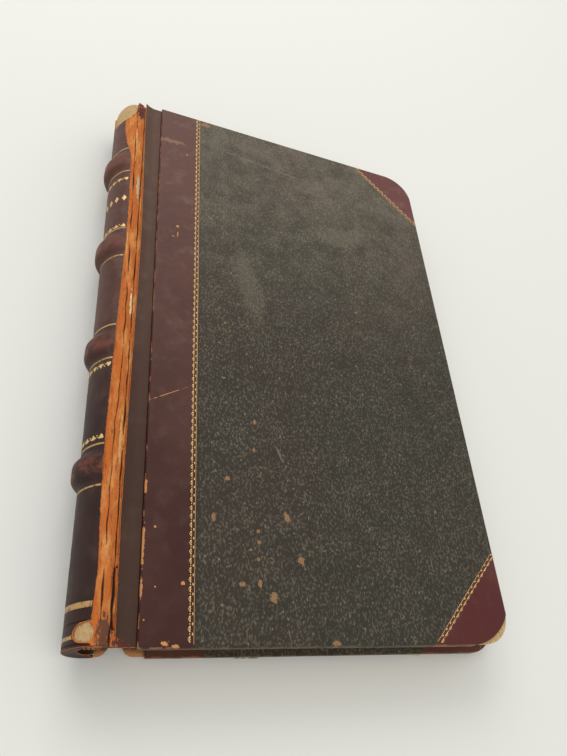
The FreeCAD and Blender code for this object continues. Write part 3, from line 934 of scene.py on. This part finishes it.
def leaf_vertex(row, out_along, up_along):
    """Point of the block's surface; its edges are stepped from leaf to leaf."""
    x, z = leaf_point(row / leaf_rows, out_along)
    y = block_low.y + (block_high.y - block_low.y) * up_along
    step = (0.14 * mm if row % 2 else 0.0) + 0.16 * mm * abs(rough((row * 0.37, 0, 0), 1.0, 41.0))
    step += 0.1 * mm * rough((x, y, row * 2 * mm), 20 * mm, 42.0)
    if up_along in (0.0, 1.0):
        y += step * (1 - 2 * up_along)
    if out_along == 1.0:
        x -= step
    return Vector((x, y, z))


def lay_leaf_edges(across, along):
    return leaf_vertex(round(along * leaf_rows), *ring[round(across * len(ring)) % len(ring)])


def lay_leaf_face(row):
    def lay(across, along):
        return leaf_vertex(row, round(across * side_columns) / side_columns,
                           round(along * length_columns) / length_columns)
    return lay


bm = joined([laid_sheet(len(ring), leaf_rows, lay_leaf_edges),
             laid_sheet(side_columns, length_columns, lay_leaf_face(0)),
             laid_sheet(side_columns, length_columns, lay_leaf_face(leaf_rows))])
bmesh.ops.remove_doubles(bm, verts=bm.verts, dist=0.002 * mm)
bmesh.ops.recalc_face_normals(bm, faces=bm.faces)
leaves = new_piece("leaves", bm, [leaf_paper], "text_block", ["text_block"])

# %% [markdown]
# Gold leaf is pressed into leather with a hot tool, so it is flat and has the tool's outline.
# A drawn pattern would blur close up, so each touch of the tool is a low, many-sided disc. A
# roll repeats its touches along a line.

# %% Gilding
def gold(name, bright, wear):
    """Gold leaf, rubbed through to the leather in places; more wear is more leather."""
    material, tree, shader = finish_named(name)
    here = place_on(tree)
    rub = field(tree, here, 1.5 * mm, 4.0, 0.7)
    rubbed = fade(tree, rub, 0.72 - wear, 0.84 - wear)
    colour = mixed(tree, rubbed, linear(bright), linear((98, 64, 46)))
    metal = maths(tree, "MULTIPLY", maths(tree, "SUBTRACT", 1.0, rubbed), 0.55)
    feed(tree, shader, Base_Color=colour, Metallic=metal, Roughness=0.42,
         Normal=bumped(tree, rub, 0.05 * mm))
    return material


gilt = gold("gilt", (222, 182, 118), 0.12)
worn_gilt = gold("worn_gilt", (184, 144, 90), 0.22)
leaf_rise = 0.05 * mm


def touch(bm, across, along, wide, long, turn=0.0, sides=8):
    """One touch of a gilding tool on a flat sheet, in millimetres."""
    made = bmesh.ops.create_cone(bm, cap_ends=True, segments=sides, radius1=0.5, radius2=0.42, depth=1.0)
    place = (Matrix.Translation((across * mm, along * mm, 0))
             @ Matrix.Rotation(turn, 4, "Z")
             @ Matrix.Diagonal((wide * mm, long * mm, 2 * leaf_rise, 1)))
    bmesh.ops.transform(bm, matrix=place, verts=made["verts"])


def rule(bm, across, wide, length):
    """Fine straight line, from 0 to length."""
    made = bmesh.ops.create_cube(bm, size=1.0)
    place = (Matrix.Translation((across * mm, length / 2 * mm, 0))
             @ Matrix.Diagonal((wide * mm, length * mm, 2 * leaf_rise, 1)))
    bmesh.ops.transform(bm, matrix=place, verts=made["verts"])


roll_pitch = 4.4
roll_narrowing = 0.72


def gilt_roll(bm, length):
    """Chain of fans and dots beside a fine line, length millimetres long."""
    count = round(length / roll_pitch)
    pitch = length / count
    for index in range(count):
        middle = (index + 0.5) * pitch
        for turn in (-0.8, 0.0, 0.8):
            touch(bm, 1.3 - 0.3 * math.cos(turn), middle + 0.95 * math.sin(turn), 2.2, 1.0, turn)
        touch(bm, 1.3, middle + pitch / 2, 0.8, 0.8)
        touch(bm, 3.1, middle + pitch / 2, 1.0, 1.5)
    rule(bm, 4.0, 0.35, length)
    bmesh.ops.scale(bm, vec=(roll_narrowing, 1, 1), verts=bm.verts)


# %% [markdown]
# The roll beside the cloth runs the whole length of the cover. It drifts a little away from
# the spine towards the head, as the real one does.

# %% Gilt roll beside the cloth
roll_from_edge = 22.3 * mm
roll_slant = 2.7 * mm
roll_margin = 1.5 * mm
roll_length = cover_length - 2 * roll_margin
bm = bmesh.new()
gilt_roll(bm, roll_length / mm)
for vertex in bm.verts:
    vertex.co.x += roll_slant * vertex.co.y / roll_length
bmesh.ops.translate(bm, vec=(front_x + roll_from_edge, tail_y + roll_margin, cover_top), verts=bm.verts)
new_piece("side_gilt_roll", bm, [gilt], "front_cover")

# %% [markdown]
# The same tools decorate the spine. Fine lines run round it on both sides of each raised
# band, and a broad one near the tail. Rows of small hearts and dots stand beside four of the
# lines, and a row of plain lozenges fills the panel below the top band. A line follows the
# skin, so it is laid as a narrow sheet in the same way as the leather.

# %% Gilt lines round the spine
line_places = [(place + side * 10.8 * mm, 1.0) for place in band_places for side in (-1, 1)]
line_places += [(tail_y + 17.9 * mm, 2.6), (tail_y + 5.3 * mm, 1.6)]
under_spine = math.radians(-100)


def lay_line(y, width):
    def lay(across, along):
        here = y + (along - 0.5) * width * mm
        facing = under_spine + (facing_at(tear_back(here) + 0.3) - under_spine) * across
        return skin_point(facing, here, leaf_rise)
    return lay


bm = joined([laid_sheet(60, 4, lay_line(y, width)) for y, width in line_places])
spine_lines = new_piece("spine_gilt_lines", bm, [worn_gilt], "text_block")
thicken(spine_lines, 2 * leaf_rise)

# %% [markdown]
# The ornament is made flat, touch by touch, and then bent round the spine. Its distance from
# the torn edge is measured along the skin, so the tools keep their shape on the shoulder.

# %% Gilt ornament on the spine
arc_facings = np.radians(np.linspace(-60, 125, 371))
arc_points = [spine_point(facing, tail_y) for facing in arc_facings]
arc_steps = [(b - a).length for a, b in zip(arc_points, arc_points[1:])]
arc_lengths = np.concatenate([[0.0], np.cumsum(arc_steps)])


def onto_spine(bm, y):
    """Bends a flat sheet round the spine at y; its X is 0 at the torn edge and runs to the left."""
    start = float(np.interp(facing_at(tear_back(y)), arc_facings, arc_lengths))
    for vertex in bm.verts:
        facing = float(np.interp(start - vertex.co.x, arc_lengths, arc_facings))
        vertex.co = skin_point(facing, y + vertex.co.y, vertex.co.z + leaf_rise)


def heart_and_dots(bm, up):
    """Row of hearts with three dots between them; up is +1 or -1 along the spine."""
    for index in range(6):
        across = 2.2 + index * 5.0
        touch(bm, across - 0.6, up * 0.7, 1.5, 1.5)
        touch(bm, across + 0.6, up * 0.7, 1.5, 1.5)
        touch(bm, across, -up * 0.2, 2.2, 2.6, 0.0, 4)
        for side, rise in ((-0.8, 0.5), (0.8, 0.5), (0.0, -0.6)):
            touch(bm, across + 2.5 + side, up * rise, 0.9, 0.9)


ornament = []
for up_from_tail, way in ((279, 1), (238.7, -1), (139.5, 1), (97.8, -1)):
    row = bmesh.new()
    heart_and_dots(row, way)
    onto_spine(row, tail_y + up_from_tail * mm)
    ornament.append(row)
lozenges = bmesh.new()
for index in range(4):
    touch(lozenges, 3.0 + index * 5.4, 0, 3.4, 5.4, 0.0, 4)
onto_spine(lozenges, tail_y + 262 * mm)
ornament.append(lozenges)
new_piece("spine_gilt_ornament", joined(ornament), [gilt], "text_block")

# %% [markdown]
# A corner piece is cut at 45 degrees, and the same roll runs beside its long edge, a little
# inside the leather and a little short of the cover's two edges.

# %% Gilt rolls along the corner pieces
corner_leg = 52 * mm
corner_roll_inset = 2.9 * mm
corner_roll_margin = 3.0 * mm
for name, corner_y, way in (("tail", tail_y, 1), ("head", head_y, -1)):
    bm = bmesh.new()
    gilt_roll(bm, (corner_leg * math.sqrt(2) - 2 * corner_roll_margin) / mm)
    turn = Matrix.Rotation(-way * math.pi / 4, 4, "Z")
    start = Vector((fore_x - corner_leg, corner_y, cover_top))
    if way == 1:
        bmesh.ops.transform(bm, matrix=Matrix.Scale(-1, 4, (1, 0, 0)), verts=bm.verts)
        bmesh.ops.reverse_faces(bm, faces=bm.faces)
    else:
        bmesh.ops.transform(bm, matrix=Matrix.Rotation(math.pi, 4, "Z"), verts=bm.verts)
    bmesh.ops.translate(bm, vec=(corner_roll_inset, way * corner_roll_margin, 0), verts=bm.verts)
    bmesh.ops.transform(bm, matrix=Matrix.Translation(start) @ turn, verts=bm.verts)
    new_piece(name + "_corner_gilt_roll", bm, [gilt], "front_cover")

# %% [markdown]
# The back cover's edge shows at the tail. Threads of its cloth have come loose there, and a
# lump of frayed cloth sticks to it beside the corner leather. A thread is a sheet rolled
# into a tube along a bent path.

# %% Loose threads at the back cover's tail edge
def thread(points, radius):
    """Thin tube along a path, given as x, y and z in millimetres from the back cover's tail corner."""
    path = [Vector((back_x, tail_y, 0)) + Vector(point) * mm for point in points]
    steps = len(path) - 1

    def lay(across, along):
        step = min(int(along * steps), steps - 1)
        share = along * steps - step
        middle = path[step].lerp(path[step + 1], share * share * (3 - 2 * share))
        turn = across * math.tau
        thin = radius * (1.0 if along < 0.8 else 0.6)
        return middle + Vector((0, math.cos(turn), math.sin(turn))) * thin
    bm = laid_sheet(6, 8 * steps, lay)
    bmesh.ops.remove_doubles(bm, verts=bm.verts, dist=0.002 * mm)
    return bm


def frayed_lump(x, y, z, wide):
    """Small torn lump of cloth, in the same millimetres."""
    bm = bmesh.new()
    bmesh.ops.create_icosphere(bm, subdivisions=3, radius=1.0)
    for vertex in bm.verts:
        reach = 1 + 0.45 * rough(vertex.co, 0.5, x)
        vertex.co = Vector((back_x + (x + vertex.co.x * wide * reach) * mm,
                            tail_y + (y + vertex.co.y * 1.1 * reach) * mm,
                            (z + vertex.co.z * 1.5 * reach) * mm))
    return bm


loose = []
for x, z, bend in ((47, 2.6, 1.6), (49, 3.2, -1.2), (52, 2.4, 1.9), (55, 3.1, 1.1), (58, 2.2, -1.7)):
    loose.append(thread([(x, 0.3, z), (x + bend, -0.1, z - 0.9),
                         (x + bend * 1.6, -0.3, max(0.5, z - 1.9)),
                         (x + bend * 3.0, -0.4, max(0.45, z - 2.3))], 0.25 * mm))
loose.append(frayed_lump(150, 0.7, 2.4, 4.2))
loose.append(frayed_lump(154.5, 0.7, 1.9, 2.6))
bm = joined(loose)
bmesh.ops.recalc_face_normals(bm, faces=bm.faces)
new_piece("loose_threads", bm, [linen], "back_cover")

# %% [markdown]
# At the spine's tail, scraps of the turned-in leather hang from the raw edge.

# %% Scraps at the spine's tail
def tail_scrap(facing_degrees, wide, long, seed):
    """Small creased flap that hangs from the tail of the spine; sizes in millimetres."""
    def lay(across, along):
        facing = math.radians(facing_degrees) + (across - 0.5) * wide / 14 * (1 - 0.45 * along)
        drop = -0.3 - 0.9 * along * long / 3 + 0.3 * rough((across * 3, along * 2, 0), 1.0, seed)
        into = -0.6 - 0.7 * long * along + 0.4 * rough((across * 2, along * 3, 0), 1.0, seed + 1)
        return spine_point(facing, spine_tail_y + max(drop, -0.9) * mm, into * mm)
    return laid_sheet(8, 6, lay)


scraps = [tail_scrap(68, 3.2, 2.6, 51.0), tail_scrap(84, 4.0, 3.4, 52.0), tail_scrap(99, 3.4, 2.4, 53.0),
          tail_scrap(52, 2.6, 2.0, 54.0), tail_scrap(110, 2.4, 3.0, 55.0)]
tail_scraps = new_piece("tail_scraps", joined(scraps), [back_leather, raw_rim],
                        "text_block")
thicken(tail_scraps, 0.35 * mm, 1)

# %% [markdown]
# The photograph was taken from beyond the tail, on the spine's side, looking steeply down with
# the camera held aslant. Its place is in metres, and its three axes are unit vectors.

# %% The camera
camera_place = (-0.15095, -0.2235, 0.3289)
camera_data = bpy.data.cameras.new("camera")
camera = bpy.data.objects.new("camera", camera_data)
bpy.context.scene.collection.objects.link(camera)
to_right = Vector((0.91907, -0.06636, 0.38847))
upward = Vector((-0.14499, 0.85964, 0.48989))
backward = Vector((-0.36646, -0.50656, 0.78045))
camera.matrix_world = Matrix.Translation(camera_place) @ Matrix(
    (to_right, upward, backward)).transposed().to_4x4()
camera_data.lens = 30.235
camera_data.clip_start = 0.01
bpy.context.scene.camera = camera
print("camera", round(camera_place[2] / mm), "mm above the table")

# %% [markdown]
# The book lies on a pale table in even light from a large window, so the scene has a floor,
# one wide lamp beyond the head and a pale world.

# %% Floor and light
floor_mesh = bpy.data.meshes.new("floor")
bm = bmesh.new()
bmesh.ops.create_grid(bm, x_segments=1, y_segments=1, size=12.0)
bm.to_mesh(floor_mesh)
bm.free()
floor = bpy.data.objects.new("floor", floor_mesh)
bpy.context.scene.collection.objects.link(floor)
floor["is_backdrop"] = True
floor_finish, tree, shader = finish_named("floor")
feed(tree, shader, Base_Color=linear((229, 228, 223)), Roughness=0.7, Specular_IOR_Level=0.2)
floor_mesh.materials.append(floor_finish)

window_data = bpy.data.lights.new("window", "AREA")
window_data.shape = "RECTANGLE"
window_data.size = 1.6
window_data.size_y = 1.0
window_data.energy = 12
window = bpy.data.objects.new("window", window_data)
bpy.context.scene.collection.objects.link(window)
window.location = (-0.5, 1.3, 1.3)
window.rotation_euler = (Vector((0, 0, 0)) - window.location).to_track_quat("-Z", "Y").to_euler()

world = bpy.data.worlds.new("world")
bpy.context.scene.world = world
world.use_nodes = True
world.node_tree.nodes["Background"].inputs["Color"].default_value = (0.99, 1.0, 0.98, 1)
world.node_tree.nodes["Background"].inputs["Strength"].default_value = 0.87
bpy.context.scene.view_settings.view_transform = "Standard"
print("window lamp of", window_data.energy, "W over a pale floor")

# %% [markdown]
# Last, how far the dressed book's corners lie from those of the bare solids is printed.
# They differ only by frayed edges and gold leaf.

# %% Sizes, and the end
look_box = [list(corner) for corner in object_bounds()]
grown = [(b - a) / mm for a, b in zip(cad_box[0] + cad_box[1], look_box[0] + look_box[1])]
print("the dressed book's corners lie off by", [round(part, 2) for part in grown], "mm")
